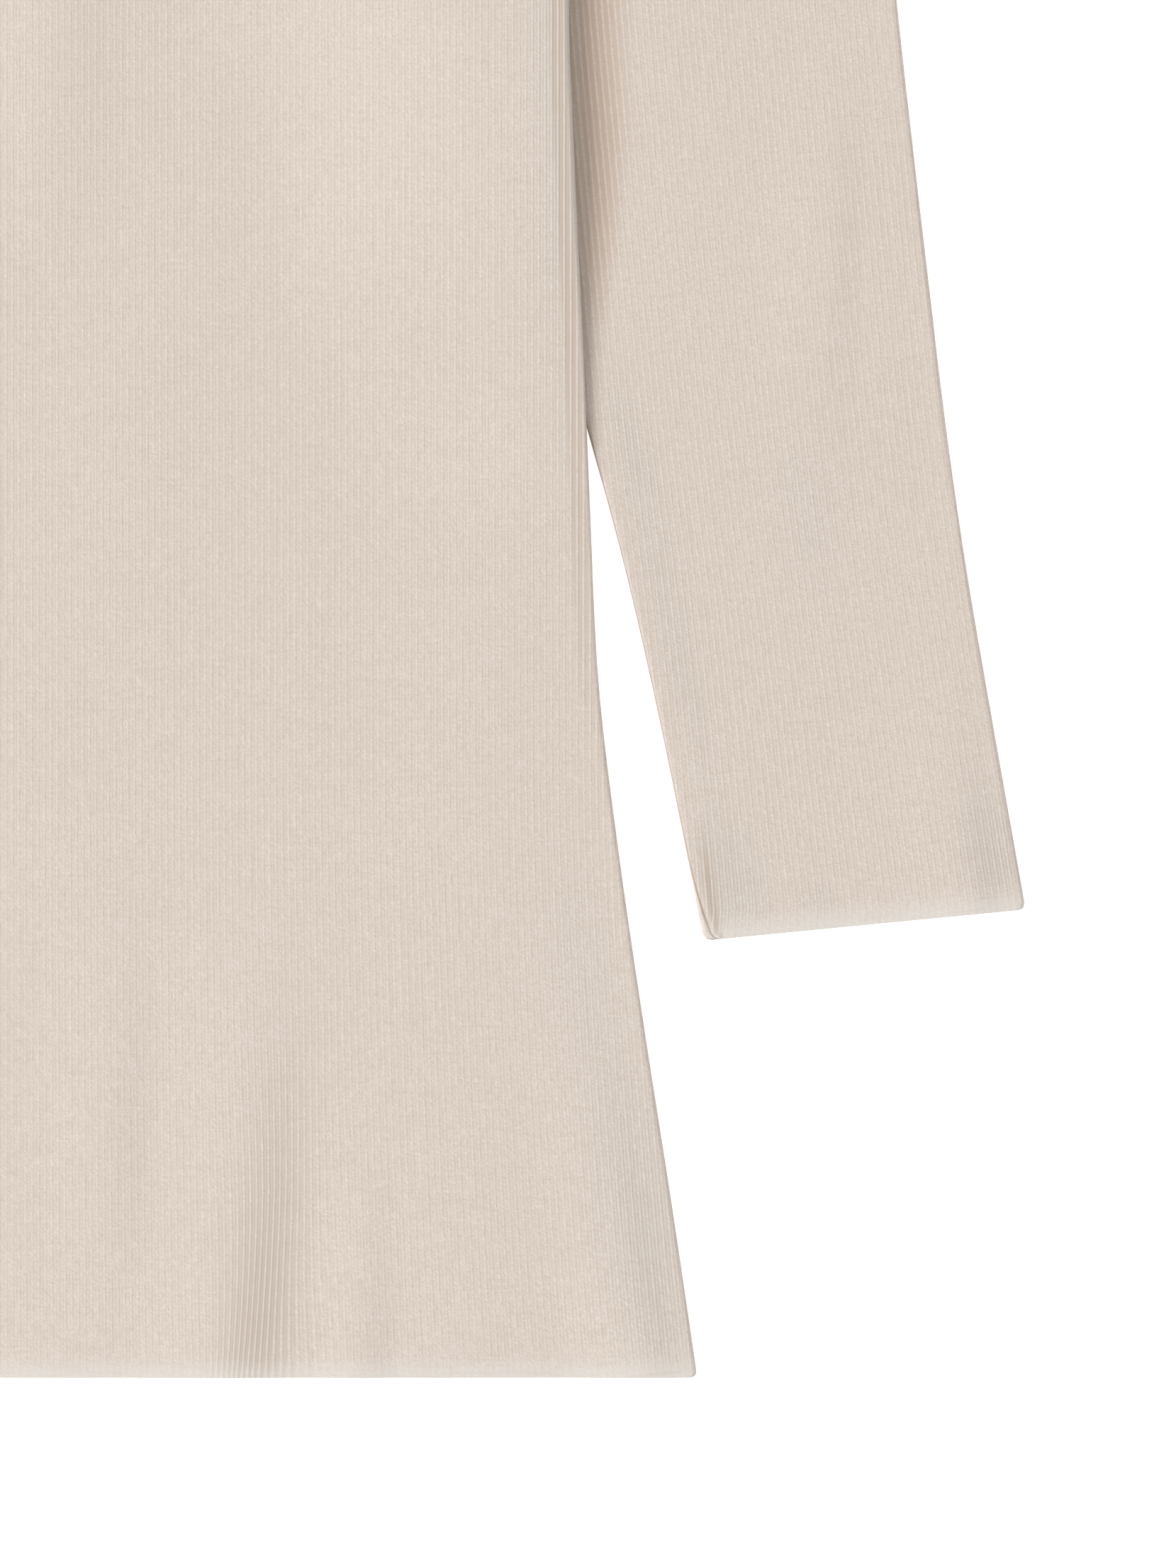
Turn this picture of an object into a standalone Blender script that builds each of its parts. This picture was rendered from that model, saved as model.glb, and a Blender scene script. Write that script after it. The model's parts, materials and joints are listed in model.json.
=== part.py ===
"""A long-sleeved t-shirt in a fine rib knit, laid flat on its back with its neck towards +Y.

Sizes are in millimetres, and become metres where the meshes are made. X runs across the shirt
from its centre line, a height runs along it from the hem, and Z is up from the surface that it
lies on. The origin is on that surface, under the middle of the whole shirt.

Front and back are panels with rolled edges at the sides and shoulders, where they are sewn to
each other. A sleeve is one tube, flattened, that leaves the armhole and swings down beside the
body, with its inner part under the body's side edge.
"""

import math
from collections import namedtuple

import bmesh
import bpy

MM = 0.001

# Cloth
WALL = 1.0  # one layer of the knit
BAND_WALL = 1.3  # the neckband, a strip folded double and pressed
SEAM = 0.3  # between pieces that are sewn to each other
PRESSED = 2.4  # two layers lying on each other, outside to outside
REST = 0.5  # between a sleeve and the body that lies on it

# Body, laid flat
LENGTH = 800.0  # hem to high shoulder point
SHOULDER_HALF = 185.5
SHOULDER_DROP = 30.0
UNDERARM = 577.0  # height of the underarm
NECK_HALF = 90.0
FRONT_NECK_DROP = 92.0  # to the neck seam
BACK_NECK_DROP = 28.0
NECK_CURVE = 2.4  # 2 is a parabola; more makes the neckline rounder
CORNER = 2.0  # radius of the folded corners at hem and cuff

# Neckband
BAND_WIDTH = 12.0
BAND_END_IN = 9.5  # how far the band's fold at the shoulder leans in, and up
BAND_END_UP = 7.0

# Sleeve, laid beside the body
CUFF_INNER = 126.3  # height of the cuff's two corners
CUFF_OUTER = 135.3
ARMHOLE_SEAM = 0.5  # between body and sleeve, measured across the shirt
CAP_START = 549.0  # height on the inner edge from which the sections take up the armhole's curve
SLEEVE_EASE = 0.9  # extra height where the sleeve is eased under the body
EASE_LOW = (300.0, 350.0)  # heights between which the ease sets in, and goes
EASE_HIGH = (500.0, 540.0)

# How the body lies over the sleeves
LIFT_LOW = (236.0, 266.0)  # heights between which the side rises on to the sleeve
LIFT_HIGH = (549.0, 572.0)  # and comes down again to the underarm
LIFT_RAMP = 80.0  # width of the slope beside the sleeve
SIDE_ROLL = 5.0  # extra height of the soft roll at the waist's side
ROLL_LOW = (262.0, 345.0)  # heights between which the roll sets in, and goes
ROLL_HIGH = (520.0, 572.0)
ROLL_WIDTH = 90.0  # how far in from the side the roll starts to swell
SIDE_REACH = 1.8  # extra width of the side's rounding where it is soft
REACH_LOW = (110.0, 330.0)

# Mesh
HEM_ROWS = (0.0, 0.3, 1.0, CORNER)
ROW_SPANS = (  # heights from, to, and the rows between them
    (CORNER, LIFT_LOW[0], 9),
    (*LIFT_LOW, 2),
    (LIFT_LOW[1], LIFT_HIGH[0], 10),
    (LIFT_HIGH[0], UNDERARM, 2),
)
ARMHOLE_ROWS = 7  # also the columns across a sleeve, which meet them
NECK_COLUMNS = 7  # from the centre line to the high shoulder point
SHOULDER_COLUMNS = 6  # from there to the armhole
ROLL_ANGLES = tuple(math.radians(angle) for angle in (30, 60, 85))
SECTION_SPANS = (  # heights on the inner edge from, to, and the sections between them
    (CUFF_INNER + CORNER, 515.0, 15),
    (515.0, 565.0, 6),
    (565.0, UNDERARM, 5),
)

KNIT_COLOUR = (0.69, 0.6, 0.53, 1.0)

BODY_RADIUS = PRESSED / 2  # of the rolled edges at shoulders, hem and chest
BAND_RADIUS = BODY_RADIUS + (BAND_WALL - WALL) / 2
REACH = SHOULDER_HALF - BODY_RADIUS  # half width that a share of 1 stands for at the shoulders
NECK_SHARE = NECK_HALF / REACH
BAND_SHARE = (NECK_HALF - BAND_RADIUS) / REACH  # where the band starts to fold round
BAND_END = math.hypot(BAND_END_IN, BAND_END_UP)
FOLD_SINE = math.sin(ROLL_ANGLES[-1])
OVERALL = LENGTH + BAND_END_UP + BAND_RADIUS * FOLD_SINE * BAND_END_IN / BAND_END

Level = namedtuple("Level", "height value")

SIDE = (
    Level(0, 201.7),
    Level(50, 194.3),
    Level(100, 186.5),
    Level(150, 179.2),
    Level(200, 173.2),
    Level(250, 170.7),
    Level(300, 168.6),
    Level(350, 166.2),
    Level(405, 164.7),
    Level(470, 170.0),
    Level(520, 180.5),
    Level(UNDERARM, 196.8),
)
ARMHOLE = (
    Level(UNDERARM, 196.8),
    Level(598, 187.0),
    Level(630, 180.5),
    Level(690, 177.5),
    Level(LENGTH - SHOULDER_DROP, SHOULDER_HALF),
)
SLEEVE_INNER = (
    Level(CUFF_INNER, 203.4),
    Level(152, 198.4),
    Level(193, 190.0),
    Level(234, 180.6),
    Level(272, 170.4),
    Level(300, 162.2),
    Level(332, 152.6),
    Level(365, 143.0),
    Level(398, 136.0),
    Level(430, 132.5),
    Level(462, 135.0),
    Level(492, 146.0),
    Level(515, 161.5),
    Level(534, 178.5),
    Level(549, 190.6),
    Level(565, 195.4),
    Level(UNDERARM, 197.9),
)
SLEEVE_OUTER = (
    Level(CUFF_OUTER, 296.6),
    Level(193, 286.4),
    Level(234, 279.4),
    Level(275, 273.5),
    Level(316, 268.6),
    Level(357, 263.8),
    Level(398, 259.3),
    Level(466, 253.2),
    Level(552, 247.2),
    Level(634, 244.6),
    Level(690, 243.2),
    Level(725, 236.0),
    Level(750, 221.0),
    Level(764, 203.0),
    Level(LENGTH - SHOULDER_DROP, SHOULDER_HALF),
)

# A section of the sleeve runs from a height on its inner edge to the value, one on its outer edge.
SECTIONS = (
    Level(CUFF_INNER, CUFF_OUTER),
    Level(193, 207),
    Level(272, 295),
    Level(332, 366),
    Level(398, 448),
    Level(462, 522),
    Level(515, 572),
    Level(534, 602),
    Level(549, 644),
    Level(565, 697),
    Level(UNDERARM, LENGTH - SHOULDER_DROP),
)

# A fold is a soft ridge from one point to another, highest at a share of the way along it.
# left and right are the widths of its flanks, seen from its start to its end.
Fold = namedtuple("Fold", "x h end_x end_h peak height left right")

BODY_FOLDS = (
    Fold(x=67, h=0, end_x=77, end_h=150, peak=0, height=1.8, left=36, right=15),
    Fold(x=104, h=0, end_x=104, end_h=85, peak=0, height=1.3, left=16, right=12),
    Fold(x=31, h=10, end_x=34, end_h=165, peak=0.4, height=1.3, left=24, right=14),
    Fold(x=187, h=0, end_x=160, end_h=135, peak=0, height=1.6, left=22, right=9),
    Fold(x=-96, h=0, end_x=-104, end_h=130, peak=0, height=1.6, left=15, right=31),
    Fold(x=-49, h=0, end_x=-45, end_h=95, peak=0, height=1.4, left=18, right=16),
    Fold(x=-188, h=0, end_x=-165, end_h=120, peak=0, height=1.5, left=9, right=20),
    Fold(x=12, h=300, end_x=20, end_h=470, peak=0.5, height=0.9, left=26, right=22),
    Fold(x=-58, h=340, end_x=-70, end_h=520, peak=0.4, height=1.0, left=20, right=26),
    Fold(x=176, h=562, end_x=92, end_h=470, peak=0.3, height=1.8, left=15, right=13),
    Fold(x=164, h=600, end_x=118, end_h=705, peak=0.4, height=1.4, left=14, right=14),
    Fold(x=-174, h=566, end_x=-104, end_h=448, peak=0.35, height=2.0, left=14, right=15),
    Fold(x=-163, h=608, end_x=-124, end_h=700, peak=0.4, height=1.2, left=13, right=13),
)
LEFT_SLEEVE_FOLDS = (
    Fold(x=210, h=128, end_x=178, end_h=268, peak=0, height=0.7, left=6, right=7),
    Fold(x=243, h=410, end_x=233, end_h=215, peak=0.4, height=0.8, left=10, right=22),
    Fold(x=281, h=134, end_x=270, end_h=215, peak=0, height=0.7, left=20, right=10),
    Fold(x=214, h=705, end_x=226, end_h=575, peak=0.4, height=1.8, left=16, right=14),
)
RIGHT_SLEEVE_FOLDS = (
    Fold(x=210, h=128, end_x=181, end_h=255, peak=0, height=0.7, left=6, right=7),
    Fold(x=246, h=380, end_x=234, end_h=240, peak=0.5, height=0.8, left=11, right=20),
    Fold(x=276, h=134, end_x=262, end_h=235, peak=0, height=0.8, left=22, right=12),
    Fold(x=216, h=690, end_x=229, end_h=545, peak=0.5, height=1.6, left=17, right=13),
)


def smooth(table, height):
    """The value of a table's smooth curve at this height."""
    height = min(max(height, table[0].height), table[-1].height)
    low = max(i for i, level in enumerate(table[:-1]) if level.height <= height)

    def slope(i):
        before = table[max(i - 1, 0)]
        after = table[min(i + 1, len(table) - 1)]
        return (after.value - before.value) / (after.height - before.height)

    start, end = table[low], table[low + 1]
    span = end.height - start.height
    t = (height - start.height) / span
    return (
        start.value * (1 + 2 * t) * (1 - t) ** 2
        + slope(low) * span * t * (1 - t) ** 2
        + end.value * (3 - 2 * t) * t**2
        + slope(low + 1) * span * (t - 1) * t**2
    )


def rise(value, low, high):
    """0 below low, 1 above high, and smooth between them."""
    t = min(max((value - low) / (high - low), 0.0), 1.0)
    return t * t * (3 - 2 * t)


def rounded_off(distance, radius):
    """How much a corner of this radius takes off an edge, this far from its end."""
    if distance >= radius:
        return 0.0
    return radius - math.sqrt(radius**2 - (radius - distance) ** 2)


def relief(x, height, folds):
    """How high the folds stand here."""
    total = 0.0
    for fold in folds:
        run, climb = fold.end_x - fold.x, fold.end_h - fold.h
        length = math.hypot(run, climb)
        along = ((x - fold.x) * run + (height - fold.h) * climb) / length**2
        across = ((x - fold.x) * climb - (height - fold.h) * run) / length
        reach = abs(across) / (fold.right if across > 0 else fold.left)
        if reach >= 1 or along >= 1 or (along < 0 and fold.peak > 0):
            continue
        if 0 <= along < fold.peak:
            strength = math.sin(math.pi / 2 * along / fold.peak) ** 2
        else:
            strength = math.cos(math.pi / 2 * max(along - fold.peak, 0) / (1 - fold.peak)) ** 2
        total += fold.height * strength * math.cos(math.pi / 2 * reach) ** 2
    return total


# The body


def half_width(height):
    if height > UNDERARM:
        return smooth(ARMHOLE, height)
    return smooth(SIDE, height) - rounded_off(height, CORNER)


def sleeve_height(height):
    """How high a sleeve lies."""
    ease = rise(height, *EASE_LOW) * (1 - rise(height, *EASE_HIGH))
    return PRESSED + SLEEVE_EASE * ease


def lift(x, height):
    """How far the body's underside is raised by the sleeve under it."""
    edge = smooth(SLEEVE_INNER, height)
    over = rise(height, *LIFT_LOW) * (1 - rise(height, *LIFT_HIGH))
    return (sleeve_height(height) + REST) * over * rise(abs(x), edge - LIFT_RAMP, edge)


def body_height(x, height):
    """Both of the body's layers, outside to outside."""
    edge = half_width(height)
    roll = rise(height, *ROLL_LOW) * (1 - rise(height, *ROLL_HIGH))
    return PRESSED + SIDE_ROLL * roll * rise(abs(x), edge - ROLL_WIDTH, edge)


def side_reach(height):
    """How far in from the side the cloth starts to round over the edge."""
    return BODY_RADIUS + SIDE_REACH * rise(height, *REACH_LOW) * (1 - rise(height, *ROLL_HIGH))


def top_edge(x, neck_drop):
    """The height of a panel's upper edge: its shoulders and its neckline."""
    x = abs(x)
    if x >= NECK_HALF:
        share = (x - NECK_HALF) / (SHOULDER_HALF - NECK_HALF)
        return LENGTH - SHOULDER_DROP * share
    return LENGTH - neck_drop * (1 - (x / NECK_HALF) ** NECK_CURVE)


def neck_shares():
    return [BAND_SHARE * (i + 1) / NECK_COLUMNS for i in range(NECK_COLUMNS)]


def mirrored(half):
    """Columns for both sides of the centre line from those on one side."""
    return [(-share, angle) for share, angle in half[::-1]] + [(0.0, 0.0)] + half


def body_columns():
    """(share of the half width, angle round the side's roll) of each column of a panel."""
    span = (1 - NECK_SHARE) / SHOULDER_COLUMNS
    shoulder = [NECK_SHARE + span * i for i in range(SHOULDER_COLUMNS + 1)]
    half = [(share, 0.0) for share in neck_shares() + shoulder]
    return mirrored(half + [(1.0, angle) for angle in ROLL_ANGLES])


def body_rows():
    """(share of the height at the armhole, angle round the shoulder's roll) of each row."""
    shoulder = LENGTH - SHOULDER_DROP - BODY_RADIUS
    heights = list(HEM_ROWS)
    for low, high, count in ROW_SPANS:
        heights += [low + (high - low) * (i + 1) / count for i in range(count)]
    start = UNDERARM + BODY_RADIUS
    heights += [start + (shoulder - start) * i / ARMHOLE_ROWS for i in range(ARMHOLE_ROWS + 1)]
    return [(height / shoulder, 0.0) for height in heights] + [(1.0, a) for a in ROLL_ANGLES]


def panel_point(column, row, neck_drop, face, depth):
    """A panel's point. face is 1 on the front and -1 on the back, depth 0 outside, WALL inside."""
    share, side_angle = column
    up, top_angle = row
    at_neck = abs(share) <= BAND_SHARE
    turned = BODY_RADIUS if at_neck else BODY_RADIUS - depth
    height = up * (top_edge(share * REACH, neck_drop) - BODY_RADIUS) + turned * math.sin(top_angle)
    if at_neck:
        top_angle = 0.0
    edge, reach = half_width(height), side_reach(height)
    if side_angle == 0.0:
        x = share * (edge - reach)
        bottom, radius = lift(x, height), body_height(x, height) / 2
    else:
        turned = reach - depth if height <= UNDERARM else reach
        x = share * (edge - reach + turned * math.sin(side_angle))
        bottom, radius = lift(edge, height), body_height(edge, height) / 2
    if height > UNDERARM:
        side_angle = 0.0
    fall = math.cos(side_angle) * math.cos(top_angle)
    level = max((radius - depth) * fall, SEAM / 2)
    z = bottom + radius + face * level
    if face > 0 and side_angle == 0.0 and top_angle == 0.0:
        z += relief(x, height, BODY_FOLDS)
    return x, height, z


def panel(name, neck_drop, face):
    columns = body_columns()
    layers = [
        [[panel_point(column, row, neck_drop, face, depth) for column in columns] for row in body_rows()]
        for depth in (0.0, WALL)
    ]
    return wall(name, *layers, tube=False)


# The sleeves


def sleeve_inners():
    """The height on the inner edge of each section, from the cuff to the armhole."""
    inners = [CUFF_INNER + row for row in HEM_ROWS]
    for low, high, count in SECTION_SPANS:
        inners += [low + (high - low) * (i + 1) / count for i in range(count)]
    return inners


def armhole_bow(share):
    """How far the armhole's seam lies out from the straight line between its ends."""
    share = min(max(share, 0.0), 1.0)
    top = LENGTH - SHOULDER_DROP
    seam = half_width(UNDERARM + (top - UNDERARM) * share) + ARMHOLE_SEAM
    underarm = SLEEVE_INNER[-1].value
    return seam - (underarm + (SHOULDER_HALF - underarm) * share)


def sleeve_ring(inner_h, side, folds, depth):
    """One section of a sleeve, all round. side is 1 on the wearer's left and -1 on the right."""
    outer_h = smooth(SECTIONS, inner_h)
    inner_x, outer_x = smooth(SLEEVE_INNER, inner_h), smooth(SLEEVE_OUTER, outer_h)
    width = math.hypot(outer_x - inner_x, outer_h - inner_h)
    off = rounded_off(inner_h - CUFF_INNER, CORNER)
    start, end = off + BODY_RADIUS, width - off - BODY_RADIUS
    across = [start + (end - start) * i / ARMHOLE_ROWS for i in range(ARMHOLE_ROWS + 1)]
    turn = [math.radians(angle) for angle in (60, 20, -20, -60)]
    ring = [(place, 0, 1) for place in across]
    ring += [(end, math.cos(angle), math.sin(angle)) for angle in turn]
    ring += [(place, 0, -1) for place in across[::-1]]
    ring += [(start, -math.cos(angle), -math.sin(angle)) for angle in turn]
    points = []
    for place, outwards, up in ring:
        reach = (place + (BODY_RADIUS - depth) * outwards) / width
        x = inner_x + (outer_x - inner_x) * reach
        x += rise(inner_h, CAP_START, UNDERARM) * armhole_bow(reach)
        height = inner_h + (outer_h - inner_h) * reach
        radius = sleeve_height(height) / 2
        z = radius + (radius - depth) * up
        if up == 1:
            z += relief(x, height, folds)
        points.append((side * x, height, z))
    return points if side > 0 else points[::-1]


def sleeve(name, side, folds):
    layers = [
        [sleeve_ring(inner, side, folds, depth) for inner in sleeve_inners()] for depth in (0.0, WALL)
    ]
    return wall(name, *layers, tube=True)


# The neckband


def neck_seam(share, neck_drop, face):
    """The point of a panel's neckline at this share of its width."""
    return panel_point((share, 0.0), (1.0, ROLL_ANGLES[-1]), neck_drop, face, 0.0)[:2]


def band_point(column, across, neck_drop, face, depth):
    """A point of half the neckband: across is 0 at the neck seam and 1 at the neck's opening."""
    share, angle = column
    seam_x, seam_h = neck_seam(share, neck_drop, face)
    side = share / BAND_SHARE
    opening_x = side * (NECK_HALF - BAND_END_IN - BAND_RADIUS)
    opening_drop = neck_drop - BAND_WIDTH + BAND_END_UP
    opening_h = LENGTH + BAND_END_UP - opening_drop * (1 - abs(side) ** NECK_CURVE)
    gap = SEAM / BAND_WIDTH
    part = gap + (1 - gap) * across
    turned = BAND_RADIUS - depth
    fold_x, fold_h = band_fold(neck_drop, face, across)
    x = seam_x + (opening_x - seam_x) * part + math.copysign(turned * math.sin(angle) * fold_x, share)
    height = seam_h + (opening_h - seam_h) * part + turned * math.sin(angle) * fold_h
    return x, height, BAND_RADIUS + face * max(turned * math.cos(angle), SEAM / 2)


def band_fold(neck_drop, face, across):
    """The way the band's fold bulges: along the seam at one edge, square to the fold at the other."""
    seam, neck = (neck_seam(share, neck_drop, face) for share in (BAND_SHARE, NECK_SHARE))
    run, climb = neck[0] - seam[0], neck[1] - seam[1]
    length = math.hypot(run, climb)
    return (
        run / length * (1 - across) + BAND_END_UP / BAND_END * across,
        climb / length * (1 - across) + BAND_END_IN / BAND_END * across,
    )


def neckband(name, neck_drop, face):
    half = [(share, 0.0) for share in neck_shares()] + [(BAND_SHARE, angle) for angle in ROLL_ANGLES]
    columns = mirrored(half)
    layers = [
        [[band_point(column, part, neck_drop, face, depth) for column in columns] for part in (0, 0.5, 1)]
        for depth in (0.0, BAND_WALL)
    ]
    return wall(name, *layers, tube=False)


# Meshes


def knit_material(name):
    material = bpy.data.materials.new(name)
    material.use_nodes = True
    shader = material.node_tree.nodes["Principled BSDF"]
    shader.inputs["Base Color"].default_value = KNIT_COLOUR
    shader.inputs["Roughness"].default_value = 0.9
    shader.inputs["Metallic"].default_value = 0.0
    return material


def placed(point):
    x, height, z = point
    return x * MM, (height - OVERALL / 2) * MM, z * MM


def wall(name, outer, inner, tube):
    """The closed wall between two grids of points. The rows of a tube close on themselves."""
    shape = bmesh.new()
    grids = [
        [[shape.verts.new(placed(point)) for point in row] for row in layer] for layer in (outer, inner)
    ]
    last_row, width = len(outer) - 1, len(outer[0])
    spans = width if tube else width - 1
    for grid in grids:
        for j in range(last_row):
            for i in range(spans):
                k = (i + 1) % width
                shape.faces.new((grid[j][i], grid[j][k], grid[j + 1][k], grid[j + 1][i]))
    rims = [[(row, i % width) for i in range(spans + 1)] for row in (0, last_row)]
    if not tube:
        rims += [[(j, column) for j in range(last_row + 1)] for column in (0, width - 1)]
    for rim in rims:
        for (j, i), (m, k) in zip(rim, rim[1:]):
            shape.faces.new((grids[0][j][i], grids[0][m][k], grids[1][m][k], grids[1][j][i]))
    bmesh.ops.recalc_face_normals(shape, faces=shape.faces)
    mesh = bpy.data.meshes.new(name)
    shape.to_mesh(mesh)
    shape.free()
    mesh.materials.append(knit_material(name))
    mesh.shade_smooth()
    mesh.set_sharp_from_angle(angle=math.radians(50))
    piece = bpy.data.objects.new(name, mesh)
    bpy.context.scene.collection.objects.link(piece)
    return piece


def clear_scene():
    for thing in list(bpy.data.objects):
        bpy.data.objects.remove(thing, do_unlink=True)


def main():
    clear_scene()
    panel("front", FRONT_NECK_DROP, face=1)
    panel("back", BACK_NECK_DROP, face=-1)
    sleeve("sleeve_left", 1, LEFT_SLEEVE_FOLDS)
    sleeve("sleeve_right", -1, RIGHT_SLEEVE_FOLDS)
    neckband("neckband_front", FRONT_NECK_DROP, face=1)
    neckband("neckband_back", BACK_NECK_DROP, face=-1)


main()
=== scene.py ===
import json
import math
from collections import namedtuple

import bpy
import numpy as np
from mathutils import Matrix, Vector

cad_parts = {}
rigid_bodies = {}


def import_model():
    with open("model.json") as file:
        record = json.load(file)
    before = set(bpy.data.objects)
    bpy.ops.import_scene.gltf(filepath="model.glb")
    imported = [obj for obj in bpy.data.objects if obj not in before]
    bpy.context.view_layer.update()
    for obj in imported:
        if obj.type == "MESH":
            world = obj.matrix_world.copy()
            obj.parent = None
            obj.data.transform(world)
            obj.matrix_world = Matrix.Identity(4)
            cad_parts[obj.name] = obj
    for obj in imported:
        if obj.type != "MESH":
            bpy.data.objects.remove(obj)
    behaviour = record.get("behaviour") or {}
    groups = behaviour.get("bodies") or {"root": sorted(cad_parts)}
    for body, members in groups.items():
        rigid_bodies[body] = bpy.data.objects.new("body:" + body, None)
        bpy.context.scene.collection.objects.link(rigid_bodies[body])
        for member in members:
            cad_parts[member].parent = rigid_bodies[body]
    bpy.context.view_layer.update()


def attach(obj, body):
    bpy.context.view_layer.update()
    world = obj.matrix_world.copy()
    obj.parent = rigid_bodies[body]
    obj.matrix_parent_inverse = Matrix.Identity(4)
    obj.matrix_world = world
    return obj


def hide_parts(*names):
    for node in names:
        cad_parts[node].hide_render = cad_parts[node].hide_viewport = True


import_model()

# The shirt lies on its back with its neck towards +Y. Sizes are in millimetres, and become metres
# where the meshes are made. X runs across from the centre line, a height runs along the shirt from
# the hem, and Z is up from the surface it lies on. What grows along the shirt does so between a LOW
# pair of heights, and runs out between a HIGH pair.

MM = 0.001

# Cloth
WALL = 0.9
BAND_WALL = 1.2
PRESSED = 2.4  # two layers lying on each other, outside to outside
REST = 0.5  # between a sleeve and the body that lies on it
CLOSED = 0.04  # half of what stays open where two walls meet at an edge
HEM_TURN = 0.8  # height within which the hem and the cuffs round off
HEM_SINK = 0.14  # how much lower the surface lies at their very edge
HEM_PALE_TO = 8.0  # height to which the hem and the cuffs are paler
SEAM_DIP = 0.55  # how much lower the cloth lies along the body's seams

# Body, laid flat
LENGTH = 800.0
SHOULDER_HALF = 185.5
SHOULDER_DROP = 30.0
UNDERARM = 577.0
NECK_HALF = 90.0
FRONT_NECK_DROP = 92.0
BACK_NECK_DROP = 28.0
NECK_CURVE = 2.4  # over 2, the neckline is flatter in the middle than an ellipse
CORNER = 2.0  # radius of the hem's and the cuffs' folded corners
BAND_WIDTH = 12.0
BAND_END_IN = 9.5  # how far the band leans in and up where it is folded at the shoulder
BAND_END_UP = 7.0
BODY_RADIUS = PRESSED / 2
BAND_RADIUS = 1.35
OVERALL = LENGTH + BAND_END_UP + BAND_RADIUS * BAND_END_IN / math.hypot(BAND_END_IN, BAND_END_UP)

# Sleeves
CUFF_INNER = 126.3  # height of the cuff's inner corner
SLEEVE_EASE = 0.9  # how much fuller a sleeve is beside the waist
EASE_LOW = (300.0, 350.0)
EASE_HIGH = (500.0, 540.0)
CAP_START = 549.0
CAP_RIBS = 640.0  # height on the outer edge above which ribs run straight up
CAP_STEP = 2.2  # between columns of the mesh in the cap, for one column to a rib
RIBBED_TO = 515.0  # height on the inner edge above which a sleeve's ribs have no relief
RIBS_FADE = 15.0  # below it, over which the relief runs out
SEAM_STRIP = (0.0, 0.15, 0.35, 0.6)  # columns of the mesh beside the underarm seam
SLEEVE_SLANT = 0.115  # how far a sleeve's rows of stitches climb towards its outer edge

# How the body lies over the sleeves
LIFT_LOW = (236.0, 266.0)
LIFT_HIGH = (536.0, 567.0)
LIFT_RAMP = 80.0
SIDE_ROLL = 4.2  # how much thicker the body's side is there
ROLL_LOW = (280.0, 365.0)
ROLL_HIGH = (500.0, 562.0)
ROLL_WIDTH = 90.0
SIDE_REACH = 0.3  # how much wider the rounded edge is there
EDGE_FULLNESS = 0.7  # under 1, the body's edge is fuller than an ellipse
REACH_LOW = (110.0, 330.0)

# Knit
RIB = 1.855  # from one rib to the next
RIB_DEPTH = 0.070
STEPS = 4  # columns of the mesh to a rib, where it shows
INNER_STEPS = 1
BACK_STEPS = 2
NECK_STEPS = 3  # on the back's inner wall, which shows in the neck
MOST_RIBS = 125  # more than half of the body has in any row
HEM_RIBS = 104  # as half of the body has near the hem
FAN_TO = 172.8  # height below which the ribs fan out towards the hem
FAN_MIDDLE, FAN_SIDE = 0.03, 0.04  # share by which they do, and what is added to it at the side
FULL_RIBS_LOW = (80.0, 260.0)  # below it, ribs are less deep
LESS_DEEP = 0.2
DRAWN_DEEPER = 1.3  # share by which ribs are deeper where they are drawn in
COURSE = 0.53  # from one row of stitches to the next
EDGE_FADE = 6.0  # width beside an edge over which creases and ribs run out

Level = namedtuple("Level", "height value")
Fold = namedtuple("Fold", "x h end_x end_h peak height left right")

SIDE = (
    Level(0, 201.7),
    Level(50, 194.3),
    Level(100, 186.5),
    Level(150, 179.2),
    Level(200, 173.2),
    Level(250, 170.7),
    Level(300, 168.6),
    Level(350, 166.2),
    Level(405, 164.7),
    Level(470, 170.0),
    Level(520, 180.5),
    Level(UNDERARM, 196.8),
)
ARMHOLE = (
    Level(UNDERARM, 196.8),
    Level(598, 187.0),
    Level(630, 180.5),
    Level(690, 177.5),
    Level(LENGTH - SHOULDER_DROP, SHOULDER_HALF),
)
SLEEVE_INNER = (
    Level(CUFF_INNER, 203.4),
    Level(152, 198.4),
    Level(193, 190.0),
    Level(234, 180.6),
    Level(272, 170.4),
    Level(300, 162.2),
    Level(332, 152.6),
    Level(365, 143.0),
    Level(398, 136.0),
    Level(430, 132.5),
    Level(462, 135.0),
    Level(492, 146.0),
    Level(515, 161.5),
    Level(534, 178.5),
    Level(549, 188.3),
    Level(556, 190.6),
    Level(565, 193.5),
    Level(UNDERARM, 196.9),
)
SLEEVE_OUTER = (
    Level(135.3, 296.6),
    Level(193, 286.4),
    Level(234, 279.4),
    Level(275, 273.5),
    Level(316, 268.6),
    Level(357, 263.8),
    Level(398, 259.3),
    Level(466, 253.2),
    Level(552, 247.2),
    Level(634, 244.6),
    Level(690, 243.2),
    Level(725, 236.0),
    Level(750, 221.0),
    Level(764, 203.0),
    Level(LENGTH - SHOULDER_DROP, SHOULDER_HALF),
)
# From a height on a sleeve's inner edge to the height across from it on the outer edge
SECTIONS = (
    Level(CUFF_INNER, 135.3),
    Level(193, 207),
    Level(272, 295),
    Level(332, 366),
    Level(398, 448),
    Level(462, 522),
    Level(515, 572),
    Level(534, 602),
    Level(549, 644),
    Level(565, 697),
    Level(UNDERARM, LENGTH - SHOULDER_DROP),
)
# How far in from the edge a sleeve's underarm seam lies
SEAM_IN = (
    Level(126, 2.9),
    Level(132, 1.9),
    Level(140, 0.9),
    Level(150, 0.4),
    Level(200, 0.25),
    Level(UNDERARM, 0.25),
)

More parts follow.
